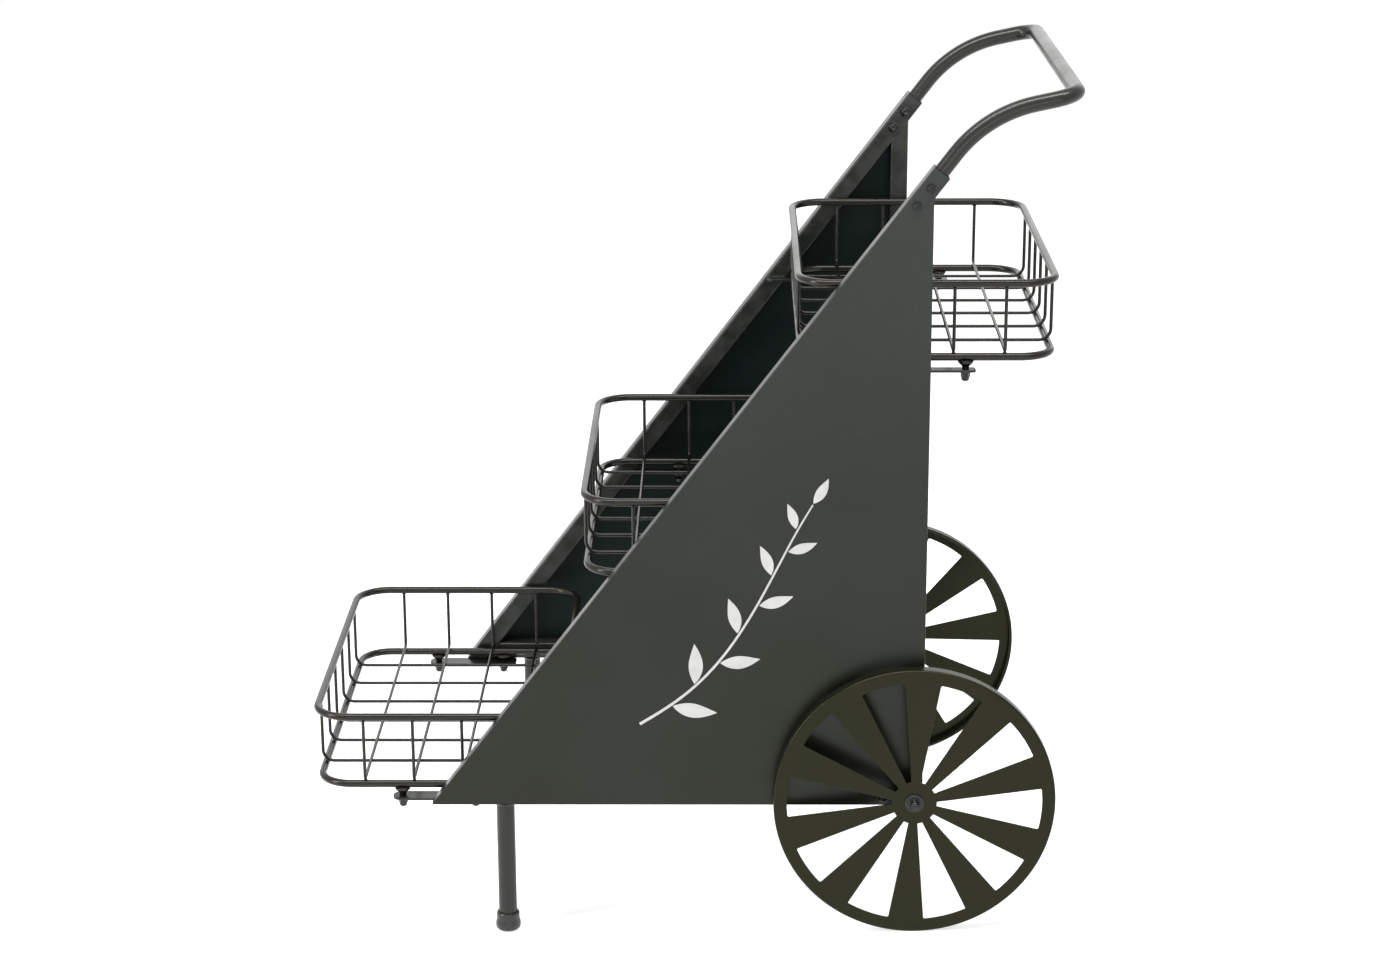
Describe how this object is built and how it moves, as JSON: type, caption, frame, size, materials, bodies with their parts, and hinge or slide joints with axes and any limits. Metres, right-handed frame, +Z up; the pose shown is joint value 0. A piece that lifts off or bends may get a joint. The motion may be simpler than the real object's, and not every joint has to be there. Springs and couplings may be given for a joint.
{
  "type": "flower cart stand",
  "caption": "Two-wheeled push cart stand: triangular sheet side frames carry stepped welded wire baskets below a bent tube handle.",
  "frame": {"origin": "on the ground, under the middle of the cart's overall box", "axes": "+X towards the handle, +Y towards the far side, +Z up"},
  "size_m": [0.7994, 0.5212, 0.8739],
  "materials": {
    "panel_coat": "satin powder coat",
    "frame_coat": "satin powder coat",
    "wire_coat": "smooth powder coat",
    "handle_coat": "smooth powder coat",
    "wheel_coat": "satin powder coat",
    "fastener": "blackened",
    "rubber": "matte"
  },
  "bodies": {
    "cart": {"near_side_sheet": "panel_coat", "near_slope_tube": "frame_coat", "near_bottom_tube": "frame_coat", "near_upright_tube": "frame_coat", "near_leg": "frame_coat", "near_foot_cap": "rubber", "near_bottom_basket_bar": "frame_coat", "near_middle_basket_bar": "frame_coat", "near_top_basket_bar": "frame_coat", "near_handle_upper_screw": "fastener", "near_handle_upper_nut": "fastener", "near_handle_lower_screw": "fastener", "near_handle_lower_nut": "fastener", "near_cross_bar_screw": "fastener", "near_axle_washer": "fastener", "near_axle_cap_nut": "fastener", "far_side_sheet": "panel_coat", "far_slope_tube": "frame_coat", "far_bottom_tube": "frame_coat", "far_upright_tube": "frame_coat", "far_leg": "frame_coat", "far_foot_cap": "rubber", "far_bottom_basket_bar": "frame_coat", "far_middle_basket_bar": "frame_coat", "far_top_basket_bar": "frame_coat", "far_handle_upper_screw": "fastener", "far_handle_upper_nut": "fastener", "far_handle_lower_screw": "fastener", "far_handle_lower_nut": "fastener", "far_cross_bar_screw": "fastener", "far_axle_washer": "fastener", "far_axle_cap_nut": "fastener", "handle": "handle_coat", "bottom_basket_rim": "wire_coat", "bottom_basket_ring": "wire_coat", "bottom_basket_wires": "wire_coat", "bottom_basket_cap_nut_1": "fastener", "bottom_basket_cap_nut_2": "fastener", "bottom_basket_cap_nut_3": "fastener", "bottom_basket_cap_nut_4": "fastener", "middle_basket_rim": "wire_coat", "middle_basket_ring": "wire_coat", "middle_basket_wires": "wire_coat", "middle_basket_cap_nut_1": "fastener", "middle_basket_cap_nut_2": "fastener", "middle_basket_cap_nut_3": "fastener", "middle_basket_cap_nut_4": "fastener", "top_basket_rim": "wire_coat", "top_basket_ring": "wire_coat", "top_basket_wires": "wire_coat", "top_basket_cap_nut_1": "fastener", "top_basket_cap_nut_2": "fastener", "top_basket_cap_nut_3": "fastener", "top_basket_cap_nut_4": "fastener", "rear_cross_bar": "frame_coat", "axle": "fastener"},
    "near_wheel_set": {"near_wheel": "wheel_coat", "near_wheel_hub_sleeve": "fastener"},
    "far_wheel_set": {"far_wheel": "wheel_coat", "far_wheel_hub_sleeve": "fastener"}
  },
  "joints": [
    {"name": "near_wheel_spin", "type": "hinge", "parent": "cart", "child": "near_wheel_set", "pos_m": [0.22344, -0.24, 0.145], "axis": [0, 1, 0], "continuous": true},
    {"name": "far_wheel_spin", "type": "hinge", "parent": "cart", "child": "far_wheel_set", "pos_m": [0.22344, 0.24, 0.145], "axis": [0, 1, 0], "continuous": true}
  ]
}
